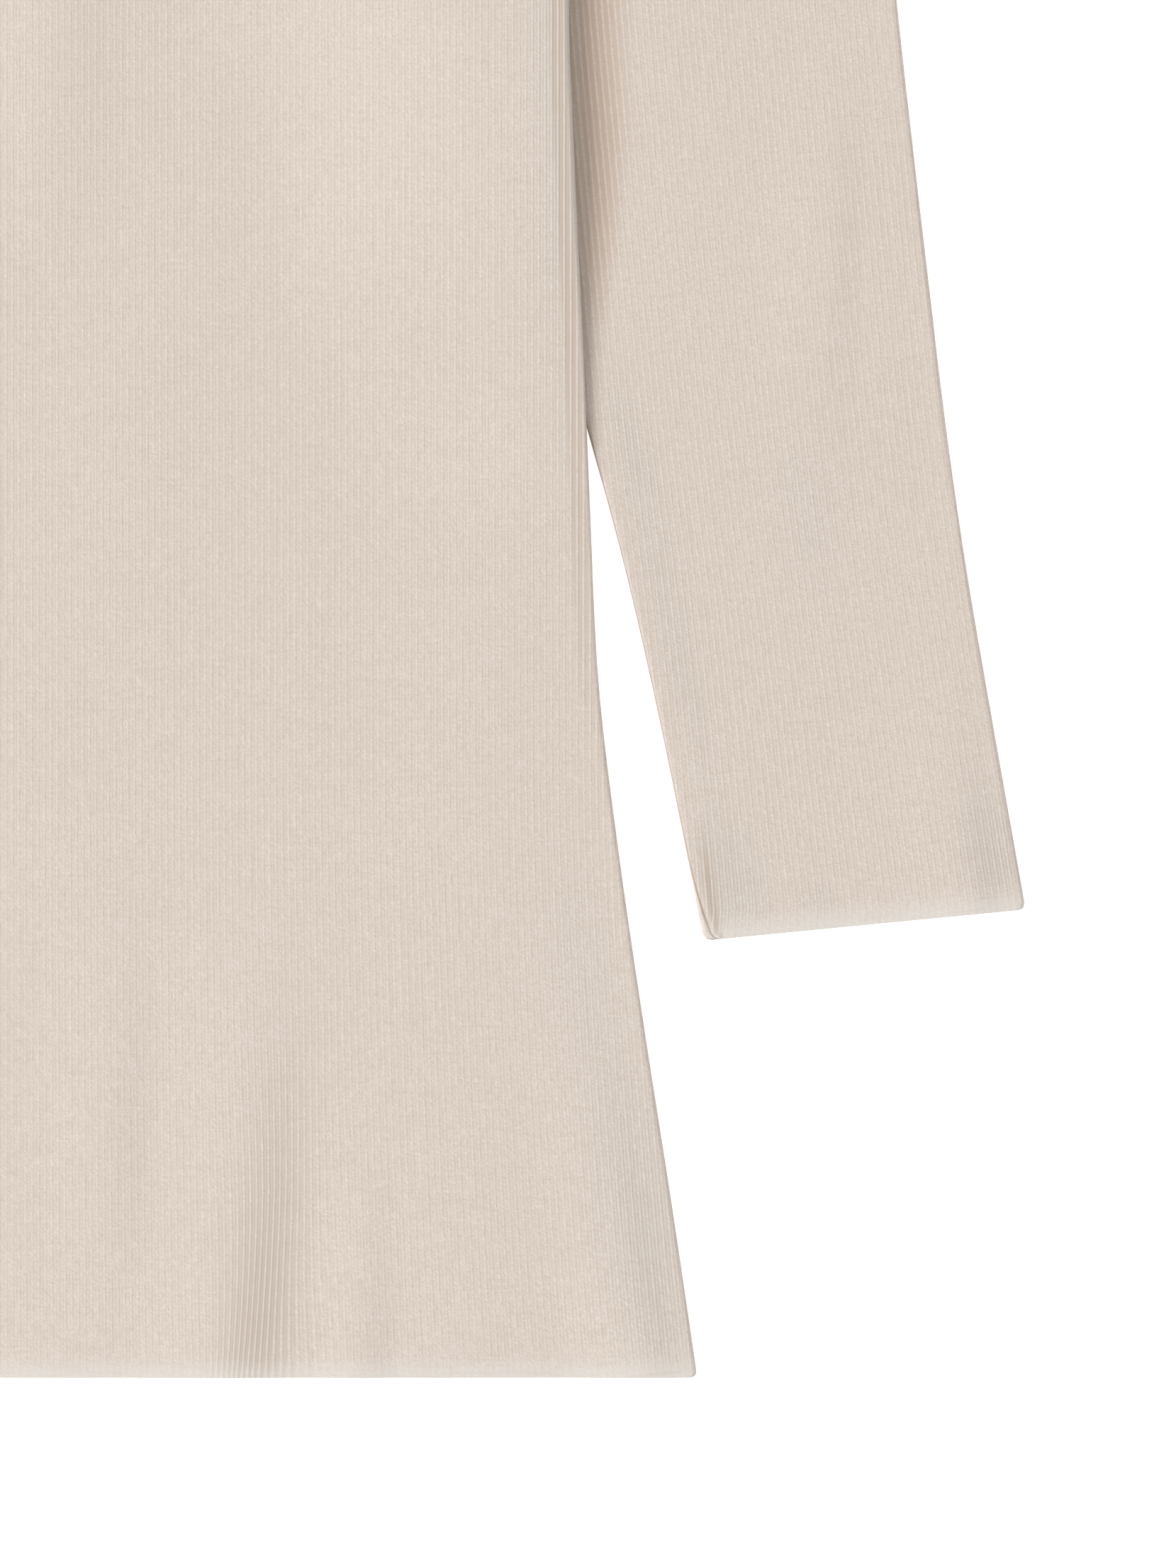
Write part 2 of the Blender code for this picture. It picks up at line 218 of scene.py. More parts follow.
# A fold is a soft ridge from one point to another, highest at a share of the way along it.
# left and right are the widths of its flanks, seen from its start to its end.
BODY_FOLDS = (
    Fold(x=67, h=0, end_x=79, end_h=150, peak=0, height=1.1, left=36, right=18),
    Fold(x=104, h=0, end_x=104, end_h=85, peak=0, height=0.8, left=16, right=12),
    Fold(x=31, h=10, end_x=34, end_h=165, peak=0.4, height=0.8, left=24, right=14),
    Fold(x=186, h=0, end_x=162, end_h=135, peak=0, height=0.9, left=24, right=13),
    Fold(x=-96, h=0, end_x=-104, end_h=130, peak=0, height=1.6, left=15, right=31),
    Fold(x=-49, h=0, end_x=-45, end_h=95, peak=0, height=1.4, left=18, right=16),
    Fold(x=-188, h=0, end_x=-165, end_h=120, peak=0, height=1.5, left=9, right=20),
    Fold(x=12, h=300, end_x=20, end_h=470, peak=0.5, height=0.9, left=26, right=22),
    Fold(x=-58, h=340, end_x=-70, end_h=520, peak=0.4, height=1.0, left=20, right=26),
    Fold(x=176, h=562, end_x=92, end_h=470, peak=0.3, height=1.8, left=15, right=13),
    Fold(x=164, h=600, end_x=118, end_h=705, peak=0.4, height=1.4, left=14, right=14),
    Fold(x=-174, h=566, end_x=-104, end_h=448, peak=0.35, height=2.0, left=14, right=15),
    Fold(x=-163, h=608, end_x=-124, end_h=700, peak=0.4, height=1.2, left=13, right=13),
)
LEFT_SLEEVE_FOLDS = (
    Fold(x=205.4, h=127, end_x=197.5, end_h=168, peak=0, height=0.75, left=2.6, right=3.8),
    Fold(x=243, h=410, end_x=233, end_h=215, peak=0.4, height=0.6, left=12, right=22),
    Fold(x=281, h=134, end_x=270, end_h=215, peak=0, height=0.7, left=20, right=10),
    Fold(x=214, h=705, end_x=226, end_h=575, peak=0.4, height=1.8, left=16, right=14),
)
RIGHT_SLEEVE_FOLDS = (
    Fold(x=205.8, h=127, end_x=197.0, end_h=172, peak=0, height=0.7, left=2.8, right=4.0),
    Fold(x=246, h=380, end_x=234, end_h=240, peak=0.5, height=0.8, left=11, right=20),
    Fold(x=276, h=134, end_x=262, end_h=235, peak=0, height=0.8, left=22, right=12),
    Fold(x=216, h=690, end_x=229, end_h=545, peak=0.5, height=1.6, left=17, right=13),
)
# Ribs are drawn in towards a hem fold: how far, within what width, and up to what height. They sway
# towards the centre line as they run down to the hem.
Draw = namedtuple("Draw", "x end_x h pull width sway")
DRAWS = (
    Draw(x=74.5, end_x=89, h=135, pull=1.25, width=22, sway=3.2),
    Draw(x=-101, end_x=-113, h=105, pull=1.1667, width=22, sway=2.4),
)
SWAY_HIGH = 60.0
PULL_SHAPE = 3.5  # makes the greatest value of off * (1 - off**2) ** 2 one


def smooth(table, height):
    """The value of a table's smooth curve at each height."""
    at, value = np.array(table, float).T
    rise_of = np.append(value[1:], value[-1]) - np.insert(value[:-1], 0, value[0])
    slope = rise_of / (np.append(at[1:], at[-1]) - np.insert(at[:-1], 0, at[0]))
    height = np.clip(height, at[0], at[-1])
    low = np.clip(np.searchsorted(at, height, side="right") - 1, 0, len(at) - 2)
    span = at[low + 1] - at[low]
    t = (height - at[low]) / span
    return (
        value[low] * (1 + 2 * t) * (1 - t) ** 2
        + slope[low] * span * t * (1 - t) ** 2
        + value[low + 1] * (3 - 2 * t) * t**2
        + slope[low + 1] * span * (t - 1) * t**2
    )


def rise(value, low, high):
    """0 below low, 1 above high, and smooth between them."""
    t = np.clip((value - low) / (high - low), 0.0, 1.0)
    return t * t * (3 - 2 * t)


def rounded_off(distance, radius):
    """How much a corner of this radius takes off an edge, this far from its end."""
    short = np.clip(radius - distance, 0.0, radius)
    return radius - np.sqrt(radius**2 - short**2)


def relief(x, height, folds):
    """How high the folds stand at each point."""
    total = np.zeros(np.shape(x))
    for fold in folds:
        run, climb = fold.end_x - fold.x, fold.end_h - fold.h
        length = math.hypot(run, climb)
        along = ((x - fold.x) * run + (height - fold.h) * climb) / length**2
        across = ((x - fold.x) * climb - (height - fold.h) * run) / length
        reach = np.abs(across) / np.where(across > 0, fold.right, fold.left)
        before = 1.0
        if fold.peak:
            before = np.sin(np.pi / 2 * np.clip(along / fold.peak, 0, 1)) ** 2
        after = np.cos(np.pi / 2 * np.clip((along - fold.peak) / (1 - fold.peak), 0, 1)) ** 2
        strength = np.where(along < fold.peak, before, after)
        total += fold.height * strength * np.cos(np.pi / 2 * np.clip(reach, 0, 1)) ** 2
    return total


def ripple(x, height):
    """The faint unevenness of cloth smoothed out by hand."""
    return (
        0.10 * np.sin(x / 17.0 + 0.9 * np.sin(height / 61.0) + 0.4)
        + 0.08 * np.sin(x / 9.5 - height / 83.0 + 1.7 * np.sin(height / 97.0))
        + 0.07 * np.sin(height / 23.0 + 1.3 * np.sin(x / 31.0))
    )


# Shape of the body


def half_width(height):
    """How far the body's edge lies from the centre line."""
    side = smooth(SIDE, height) - rounded_off(height, CORNER)
    return np.where(height > UNDERARM, smooth(ARMHOLE, height), side)


def sleeve_height(height):
    """How thick a sleeve lies, both its layers together."""
    ease = rise(height, *EASE_LOW) * (1 - rise(height, *EASE_HIGH))
    return PRESSED + SLEEVE_EASE * ease


def lift(x, height):
    """How far the body's underside is raised by the sleeve under it."""
    edge = smooth(SLEEVE_INNER, height)
    over = rise(height, *LIFT_LOW) * (1 - rise(height, *LIFT_HIGH))
    return (sleeve_height(height) + REST) * over * rise(np.abs(x), edge - LIFT_RAMP, edge)


def body_height(x, height):
    """How thick the body lies, front and back together."""
    edge = half_width(height)
    roll = rise(height, *ROLL_LOW) * (1 - rise(height, *ROLL_HIGH))
    return PRESSED + SIDE_ROLL * roll * rise(np.abs(x), edge - ROLL_WIDTH, edge)


def side_reach(height):
    """How wide the rounding of the body's edge is."""
    return BODY_RADIUS + SIDE_REACH * rise(height, *REACH_LOW) * (1 - rise(height, *ROLL_HIGH))


def top_edge(x, neck_drop):
    """The height of the shoulders and the neckline."""
    x = np.abs(x)
    shoulder = LENGTH - SHOULDER_DROP * (x - NECK_HALF) / (SHOULDER_HALF - NECK_HALF)
    neck = LENGTH - neck_drop * (1 - np.clip(x / NECK_HALF, 0, 1) ** NECK_CURVE)
    return np.where(x >= NECK_HALF, shoulder, neck)


def rib_place(rib, height, side):
    """How far out from the centre line each rib lies, and how closely the ribs are drawn in there.

    Ribs fan out towards the hem, and are a little less deep there.
    """
    low = np.clip((FAN_TO - height) / FAN_TO, 0, 1) ** 1.5
    place = RIB * rib * (1 + (FAN_MIDDLE + FAN_SIDE * (rib / HEM_RIBS) ** 2) * low)
    drawn = np.full(len(rib), -LESS_DEEP * (1 - float(rise(height, *FULL_RIBS_LOW))))
    for draw in DRAWS:
        if draw.x * side > 0:
            strength = 1 - rise(height, 0, draw.h)
            middle = abs(draw.x + (draw.end_x - draw.x) * height / draw.h)
            off = np.clip((place - middle) / draw.width, -1, 1)
            place = place - draw.pull * strength * PULL_SHAPE * off * (1 - off**2) ** 2
            low_down = np.clip(1 - height / SWAY_HIGH, 0, 1) ** 1.5
            place = place - draw.sway * low_down * (1 - off**2) ** 2
            drawn = drawn + DRAWN_DEEPER * strength * (1 - off**2) ** 3
    return place, drawn


# A wall's rows, and the levels by which its sides are joined to the other wall's
Layer = namedtuple("Layer", "rows levels")


class Shell:
    """A closed shell of cloth, made of rows of points that are joined to each other."""

    def __init__(self):
        self.points, self.knit, self.tone, self.faces = [], [], [], []
        self.count = 0

    def row(self, x, height, z, rib, course, drawn, tone):
        """Adds a row, and returns its points' numbers and the ribs by which rows are joined."""
        self.points.append(np.stack([x, height - OVERALL / 2, z], 1) * MM)
        self.knit.append(np.stack([rib, course, drawn], 1))
        self.tone.append(tone)
        self.count += len(x)
        return list(range(self.count - len(x), self.count)), list(rib)

    def whole_row(self, left, right):
        """Adds a row of two halves that meet on the centre line."""
        return self.row(*[np.concatenate([one[:0:-1], other]) for one, other in zip(left, right)])

    def join(self, low, high, turned):
        """Fills the strip between two rows with triangles, whatever the numbers of their points."""
        (a, at), (b, bt) = low, high
        i = j = 0
        while i < len(a) - 1 or j < len(b) - 1:
            if j == len(b) - 1 or (i < len(a) - 1 and at[i + 1] <= bt[j + 1]):
                face = (a[i], a[i + 1], b[j])
                i += 1
            else:
                face = (a[i], b[j + 1], b[j])
                j += 1
            self.faces.append(face[::-1] if turned else face)

    def join_walls(self, outer, inner, upwards):
        """Joins the rows of an outer and an inner wall, and closes all four edges between the two."""
        for layer, turned in ((outer, not upwards), (inner, upwards)):
            for low, high in zip(layer.rows, layer.rows[1:]):
                self.join(low, high, turned)
        self.join(outer.rows[0], inner.rows[0], upwards)
        self.join(outer.rows[-1], inner.rows[-1], not upwards)
        for end, turned in ((0, not upwards), (-1, upwards)):
            sides = [([ids[end] for ids, _ in layer.rows], layer.levels) for layer in (outer, inner)]
            self.join(*sides, turned)

    def piece(self, name, material):
        mesh = bpy.data.meshes.new(name)
        points = np.concatenate(self.points)
        mesh.from_pydata(points.tolist(), [], self.faces)
        knit = mesh.attributes.new("knit", "FLOAT_VECTOR", "POINT").data
        knit.foreach_set("vector", np.concatenate(self.knit).astype(np.float32).ravel())
        tone = mesh.attributes.new("tone", "FLOAT_COLOR", "POINT").data
        tone.foreach_set("color", np.concatenate(self.tone).astype(np.float32).ravel())
        mesh.shade_smooth()
        mesh.set_sharp_from_angle(angle=math.radians(60))
        mesh.materials.append(material)
        piece = bpy.data.objects.new(name, mesh)
        bpy.context.scene.collection.objects.link(piece)
        return piece


def ribbed(rib):
    """How deep the surface lies below the ribs' crests."""
    return RIB_DEPTH * (0.5 - 0.5 * np.cos(2 * np.pi * rib))


# A tone is four shares: of a painted cool, greyish shade, of the hem's paleness (along the body's
# edge partly painted light), of a seam's brown, and of a painted warm shade where cloth lies close
# under another edge. A spot is a soft patch of the painted cool shade, which leans this far across for
# each millimetre up.
PaintedShadeSpot = namedtuple("PaintedShadeSpot", "x h wide high lean amount")
BODY_SHADE_SPOTS = (
    PaintedShadeSpot(x=187, h=42, wide=13, high=42, lean=-0.16, amount=0.9),
    PaintedShadeSpot(x=169, h=118, wide=10, high=30, lean=-0.14, amount=0.4),
    PaintedShadeSpot(x=160, h=380, wide=5, high=80, lean=-0.02, amount=0.8),
    PaintedShadeSpot(x=74, h=40, wide=9, high=60, lean=0.06, amount=0.35),
    PaintedShadeSpot(x=-186, h=50, wide=12, high=45, lean=0.16, amount=0.7),
    PaintedShadeSpot(x=-160, h=390, wide=5, high=80, lean=0.02, amount=0.7),
)
LEFT_SLEEVE_SHADE_SPOTS = (
    PaintedShadeSpot(x=206.6, h=137, wide=2.3, high=13, lean=-0.23, amount=1.0),
    PaintedShadeSpot(x=211, h=143, wide=9, high=16, lean=-0.2, amount=1.0),
    PaintedShadeSpot(x=196, h=210, wide=6, high=40, lean=-0.24, amount=0.55),
    PaintedShadeSpot(x=183, h=268, wide=6, high=24, lean=-0.24, amount=0.6),
    PaintedShadeSpot(x=288, h=152, wide=9, high=15, lean=-0.1, amount=1.0),
    PaintedShadeSpot(x=237, h=136, wide=5, high=6, lean=0, amount=0.6),
    PaintedShadeSpot(x=233, h=250, wide=8, high=24, lean=-0.12, amount=0.35),
)
RIGHT_SLEEVE_SHADE_SPOTS = (
    PaintedShadeSpot(x=206.9, h=136, wide=2.3, high=12, lean=-0.23, amount=0.9),
    PaintedShadeSpot(x=212, h=146, wide=9, high=18, lean=-0.2, amount=0.9),
    PaintedShadeSpot(x=287, h=150, wide=8, high=16, lean=-0.1, amount=0.8),
)


def painted_cool_shade_at(x, height, shade_spots):
    """How much painted cool shade each point has."""
    total = np.zeros(np.shape(x))
    for spot in shade_spots:
        across = (x - spot.x - spot.lean * (height - spot.h)) / spot.wide
        up = (height - spot.h) / spot.high
        total += spot.amount * np.exp(-(across**2) - up**2)
    return np.clip(total, 0, 1)


# The front and the back

HEM_ROWS = (0, 0.25, 0.8, 1.6, 3.5, 6.0)  # heights of the rows round the hem
TOP_ROWS = (0.975, 0.986, 0.993, 0.997)  # shares of the way from the underarm to the top edge
TOP_ANGLES = (0.001, 22, 45, 67, 89)  # of the rows that turn over the top edge
LEAST_GAP = 0.1  # between the end of a row and the last rib before it
TOP_SEAM_WIDTH, ARMHOLE_SEAM_WIDTH = 1.3, 1.2
DARK_LINES = (6.2, 4.6)  # how far in from the body's edge its dark lines begin
LAST_RIB = (1.5, 0.8)  # and where they end, at a smooth last rib
LINES_DARK, LAST_RIB_PAINTED_LIGHT = 1.5, 0.35

# One wall of a panel. face is 1 on the front and -1 on the back, and depth is 0 on the outside and
# WALL on the inside.
Wall = namedtuple("Wall", "face depth steps neck_drop")


def row_end(heights_at):
    """The height at which a row meets the body's edge, and how far out that is."""
    edge = 0.0
    for _ in range(7):
        height = float(heights_at(np.array([edge]))[0])
        edge = float(half_width(height))
    return height, edge


def ribs_to(end, height, side, steps):
    """The ribs of half a row, where they lie, and how closely they are drawn in."""
    rib = np.arange(0, MOST_RIBS * steps + 1) / steps
    place, drawn = rib_place(rib, height, side)
    kept = place < end - LEAST_GAP
    last = float(np.interp(end, place, rib))
    return np.append(rib[kept], last), np.append(place[kept], end), np.append(drawn[kept], 0.0)


def side_finish(x, height, edge):
    """How dark the thin lines along the body's edge are, and how pale its smooth last rib; that
    paleness is partly painted light where the edge turns away from the lamp.
    """
    along = rise(height, *REACH_LOW)
    last_rib = rise(x, edge - LAST_RIB[0], edge - LAST_RIB[1])
    lines = rise(x, edge - DARK_LINES[0], edge - DARK_LINES[1]) * (1 - last_rib)
    return LINES_DARK * lines * along, LAST_RIB_PAINTED_LIGHT * last_rib * along


def body_side(heights_at, side, wall, top_angle):
    """Half of a row, from the centre line out to one side.

    heights_at gives the height at each x. Up to the underarm the cloth rolls over at the body's
    edge, and above it a row ends at the armhole's seam.
    """
    height, edge = row_end(heights_at)
    rolled = height <= UNDERARM
    reach = float(side_reach(height)) if rolled else 0.0
    radius = float(body_height(edge, height)) / 2
    quarter = math.pi / 2 * math.sqrt((reach**2 + radius**2) / 2) if rolled else 0.0
    start = edge - reach
    end = start + quarter
    rib, place, drawn = ribs_to(end, height, side, wall.steps)
    turn, x = np.zeros(len(place)), place
    if rolled:
        turn = np.clip((place - start) / quarter, 0, 1) * math.pi / 2
        x = np.where(turn > 0, start + max(reach - wall.depth, 0.0) * np.sin(turn), place)
    height = heights_at(x)
    top_turn = np.where(x < NECK_HALF, 0.0, top_angle)
    on_top = top_angle > 0
    to_top = top_edge(x, wall.neck_drop) - height
    seam = np.ones(len(x)) if on_top else np.exp(-((to_top / TOP_SEAM_WIDTH) ** 2))
    fade, pale_edge_painted_light = np.ones(len(x)), 0.0
    if rolled:
        fade = rise(end - place, 0, EDGE_FADE)
        lines, pale_edge_painted_light = side_finish(x, height, edge)
        drawn = drawn + lines
    else:
        seam = np.maximum(seam, np.exp(-(((edge - x) / ARMHOLE_SEAM_WIDTH) ** 2)))
    half = body_height(x, height) / 2
    away = (half - wall.depth) * np.cos(turn) ** EDGE_FULLNESS * np.cos(top_turn)
    if wall.depth == 0:
        sunk = ribbed(rib) * (1 + drawn) * (1 - 0.7 * seam)
        sunk[-1] = 0.0
        away = away - sunk - HEM_SINK * np.clip(1 - height / HEM_TURN, 0, 1) ** 2
    z = lift(x, height) + half + wall.face * np.maximum(away, CLOSED)
    if wall.face > 0:
        creases = relief(side * x, height, BODY_FOLDS) + ripple(side * x, height)
        z = z + creases * fade * np.cos(top_turn) - SEAM_DIP * seam * (not on_top)
    # The hem's paleness, and on the body's rolled edge a pale last rib, partly painted light
    pale = np.maximum(1 - rise(height, 0, HEM_PALE_TO), pale_edge_painted_light)
    tone = np.stack([painted_cool_shade_at(side * x, height, BODY_SHADE_SPOTS), pale, 0.6 * seam, 0 * x], 1)
    return side * x, height, z, side * rib, height / COURSE, drawn, tone


def level_row(height):
    return lambda x: np.full(len(x), height)


def upper_row(share, neck_drop):
    """A row this share of the way from the underarm to the top edge, whose shape it takes on."""
    return lambda x: UNDERARM + share * (top_edge(x, neck_drop) - BODY_RADIUS - UNDERARM)


def turned_row(turn, wall):
    """A row on the rounded top edge. In the neck the cloth doesn't turn, and ends level."""

    def heights_at(x):
        outer = BODY_RADIUS - np.where(x < NECK_HALF, 0.0, min(wall.depth, BODY_RADIUS - CLOSED))
        return top_edge(x, wall.neck_drop) - BODY_RADIUS + outer * math.sin(turn)

    return heights_at


def body_wall(shell, wall):
    """All rows of one wall of a panel. The inner wall has every other one."""
    every = 1 if wall.depth == 0 else 2
    plain = list(np.linspace(10, 490, 45)) + list(np.linspace(494, UNDERARM, 24))
    heights = list(HEM_ROWS) + plain[:-1:every] + plain[-1:]
    shares = list(np.linspace(0.008, 0.96, 20)[::every]) + list(TOP_ROWS)
    turns = [math.radians(angle) for angle in TOP_ANGLES]
    lines = [(level_row(height), 0.0) for height in heights]
    lines += [(upper_row(share, wall.neck_drop), 0.0) for share in shares]
    lines += [(turned_row(turn, wall), turn) for turn in turns]
    rows = [
        shell.whole_row(*[body_side(heights_at, side, wall, turn) for side in (-1, 1)])
        for heights_at, turn in lines
    ]
    levels = heights + [UNDERARM + share for share in shares]
    return Layer(rows, levels + [UNDERARM + 1 + angle for angle in TOP_ANGLES])


def panel(name, face, neck_drop, steps, inner_steps, material):
    shell = Shell()
    outer = body_wall(shell, Wall(face, 0.0, steps, neck_drop))
    inner = body_wall(shell, Wall(face, WALL, inner_steps, neck_drop))
    shell.join_walls(outer, inner, face > 0)
    return shell.piece(name, material)


# The sleeves

SECTION_STEP = 0.02  # how finely the way round a section is measured
LEAST_SHARE = 0.06  # of a rib, between the seam's strip and the first column beside it
SEAM_WIDTH, SEAM_GROOVE = 0.3, 0.15
CAP_SEAM_WIDTH, CAP_SEAM_GROOVE = 1.1, 0.21
CAP_SEAM_LOW = (570.0, 576.0)
CUFF_FAN, CUFF_FAN_TO, CUFF_FAN_OVER = 0.075, 235.0, 110.0  # share, height and run of the fan
DRIFT, DRIFT_FROM, DRIFT_OVER = 2.6, 398.0, 266.0  # ribs that run out over the outer edge
# Painted shade in the crease beside the seam: distance from it, slope, breadth as a share of the
# distance
CREASE_AT, CREASE_SLOPE, CREASE_BREADTH = 2.65, 0.137, 0.4
CREASE_FROM = 134.0
CREASE_HIGH = (142.0, 158.0)
# The warm shade painted on a sleeve beside the body's edge, which deepens the real shadow there
SHADE_LOW = (264.0, 345.0)
SHADE_HIGH = (540.0, 572.0)
SHADE_WIDTH, SHADE_WIDER = 1.2, 7.6
WIDER_LOW = (262.0, 372.0)
WIDER_HIGH = (520.0, 572.0)


def sleeve_pitch(height):
    """From one rib to the next on a sleeve. The knit is wider towards the cuff."""
    return RIB * (1 + CUFF_FAN * np.clip((CUFF_FAN_TO - height) / CUFF_FAN_OVER, 0, 1) ** 1.3)


def sleeve_rib(x, height):
    """The rib at each point of a sleeve's top, counted from its outer edge."""
    drift = DRIFT * (DRIFT_FROM - height) / DRIFT_OVER
    return (smooth(SLEEVE_OUTER, np.minimum(height, CAP_RIBS)) - x) / sleeve_pitch(height) - drift


def armhole_bow(share):
    """How far out the armhole's seam bows from a straight line, this share of the way up."""
    share = np.clip(share, 0, 1)
    top = LENGTH - SHOULDER_DROP
    seam = half_width(UNDERARM + 0.001 + (top - UNDERARM) * share)
    underarm = SLEEVE_INNER[-1].value
    return seam - (underarm + (SHOULDER_HALF - underarm) * share)


def painted_shade_beside_body(x, height):
    """How much painted warm shade each point of a sleeve's top has beside the body's edge."""
    wide = SHADE_WIDTH + SHADE_WIDER * rise(height, *WIDER_LOW) * (1 - rise(height, *WIDER_HIGH))
    out = x - half_width(height)
    near_edge = 0.55 + 0.45 * rise(out, 1.0, 6.0)
    off = rise(out, 0.75 * wide, 2.3 * wide)
    return near_edge * (1 - off) * rise(height, *SHADE_LOW) * (1 - rise(height, *SHADE_HIGH))


def painted_crease_shade(s, height):
    """Painted shade in the crease that runs up from the cuff beside the underarm seam."""
    middle = CREASE_AT + CREASE_SLOPE * np.maximum(height - CREASE_FROM, -5)
    across = (s - middle) / (CREASE_BREADTH * middle)
    return np.exp(-(across**2)) * (1 - rise(height, *CREASE_HIGH))


class Section:
    """One section of a sleeve, from its underarm seam over the top, round and back under.

    inner_h is its height on the sleeve's inner edge.
    """

    def __init__(self, inner_h):
        self.inner_h, self.outer_h = inner_h, float(smooth(SECTIONS, inner_h))
        self.inner_x = float(smooth(SLEEVE_INNER, inner_h))
        self.outer_x = float(smooth(SLEEVE_OUTER, self.outer_h))
        self.width = math.hypot(self.outer_x - self.inner_x, self.outer_h - inner_h)
        off = float(rounded_off(inner_h - CUFF_INNER, CORNER))
        self.start, self.end = off + BODY_RADIUS, self.width - off - BODY_RADIUS
        self.flat, self.turn = self.end - self.start, math.pi * BODY_RADIUS
        self.total = 2 * (self.flat + self.turn)
        seam_in = float(smooth(SEAM_IN, inner_h)) / BODY_RADIUS
        self.seam_at = BODY_RADIUS * (seam_in - 1 if seam_in > 1 else -math.asin(1 - seam_in))

    def laid(self, s, depth):
        """For each distance s round the section: x, height, how far it faces up, and place across."""
        t = np.mod(self.seam_at + s, self.total)
        over = t < self.flat + self.turn
        under = self.flat - np.clip(t - self.flat - self.turn, 0, self.flat)
        place = self.start + np.where(over, np.minimum(t, self.flat), under)
        turned = np.where(over, t - self.flat, t - 2 * self.flat - self.turn)
        angle = math.pi * np.clip(turned / self.turn, 0, 1)
        facing = np.where(over, 1, -1)
        reach = (place + (BODY_RADIUS - depth) * facing * np.sin(angle)) / self.width
        bow = rise(self.inner_h, CAP_START, UNDERARM) * armhole_bow(reach)
        x = self.inner_x + (self.outer_x - self.inner_x) * reach + bow
        height = self.inner_h + (self.outer_h - self.inner_h) * reach
        return x, height, facing * np.cos(angle), place

    def columns(self, steps):
        """The distances round the section at which the mesh has its columns, and the rib at each."""
        loop = np.arange(0, self.total, SECTION_STEP)
        x, height, _, _ = self.laid(loop, 0.0)
        first, last = max(-self.seam_at, 0.0), self.flat - self.seam_at
        number = np.interp(np.clip(loop, first, last), loop, -sleeve_rib(x, height))
        past = np.minimum(loop - first, 0) + np.maximum(loop - last, 0)
        number = number + past / float(sleeve_pitch(self.outer_h))
        strip = np.array(SEAM_STRIP)
        near, far = strip[-1], self.total - strip[-1]
        if self.inner_h <= RIBBED_TO:
            number = np.maximum.accumulate(number)
            lowest, highest = np.interp([near, far], loop, number)
            low = math.ceil((lowest + LEAST_SHARE) * steps)
            high = math.floor((highest - LEAST_SHARE) * steps)
            middle = np.interp(np.arange(low, high + 1) / steps, number, loop)
        else:
            middle = np.linspace(near, far, int(self.total * steps / CAP_STEP))[1:-1]
        s = np.concatenate([strip, middle, self.total - strip[:0:-1]])
        return s, np.interp(s, loop, number)


def sleeve_sunk(inner_h, rib, seam, cap):
    """How deep a sleeve's surface lies below its ribs' crests, at its seams and at the cuff's edge."""
    fade = 1 - rise(inner_h, RIBBED_TO - RIBS_FADE, RIBBED_TO)
    sunk = ribbed(rib) * (1 - 0.8 * np.maximum(seam, cap)) * fade
    sunk = sunk + np.maximum(SEAM_GROOVE * seam, CAP_SEAM_GROOVE * cap)
    return sunk + HEM_SINK * max(0.0, 1 - (inner_h - CUFF_INNER) / HEM_TURN) ** 2


SleeveRow = namedtuple("SleeveRow", "ids ribs shares ribbed")


def sleeve_row(shell, inner_h, side, folds, shade_spots, depth, steps):
    """One section's points as a closed row, with each point's rib and share of the way round."""
    section = Section(inner_h)
    s, rib = section.columns(steps)
    x, height, up, place = section.laid(s, depth)
    seam = np.exp(-((np.minimum(s, section.total - s) / SEAM_WIDTH) ** 2))
    cap = np.exp(-(((x - half_width(height)) / CAP_SEAM_WIDTH) ** 2)) * rise(inner_h, *CAP_SEAM_LOW)
    sunk, crease_shade = np.zeros(len(s)), np.zeros(len(s))
    if depth == 0:
        sunk, crease_shade = sleeve_sunk(inner_h, rib, seam, cap), painted_crease_shade(s, height)
    radius = sleeve_height(height) / 2
    z = radius + (radius - depth - sunk) * up
    in_from_edge = np.minimum(place - section.start, section.end - place)
    fade = rise(in_from_edge, 0, EDGE_FADE) * (up > 0.99)
    z = z + (relief(x, height, folds) + 0.5 * ripple(x + 40, height)) * fade
    cool = painted_cool_shade_at(x, height, shade_spots) * (up > -0.5)
    pale = np.full(len(s), 1 - float(rise(inner_h - CUFF_INNER, 0, HEM_PALE_TO)))
    # painted warm shade beside the body's edge, and a little in the seam's crease
    warm = np.maximum(painted_shade_beside_body(x, height) * (up > 0), 0.2 * crease_shade)
    tone = np.stack([cool, pale, np.maximum(seam, 0.6 * cap), warm], 1)
    course = (height - SLEEVE_SLANT * x) / COURSE
    # The crease's painted shade goes in as drawn, which darkens the ribs' valleys and opens the holes
    ids, ribs = shell.row(side * x, height, z, rib, course, 2.0 * crease_shade, tone)
    shares = list(s / section.total) + [1.0]
    return SleeveRow(ids + ids[:1], ribs + ribs[:1], shares, inner_h <= RIBBED_TO)


def join_sleeve_rows(shell, low, high, turned):
    """Joins two rows: by columns beside the seam, and the rest by ribs, or by shares in the cap."""
    near = len(SEAM_STRIP) - 1
    columns = list(range(near + 1))
    for strip in (slice(near + 1), slice(-near - 1, None)):
        shell.join((low.ids[strip], columns), (high.ids[strip], columns), turned)
    rest = slice(near, -near)
    low_at, high_at = (low.ribs, high.ribs) if high.ribbed else (low.shares, high.shares)
    shell.join((low.ids[rest], low_at[rest]), (high.ids[rest], high_at[rest]), turned)


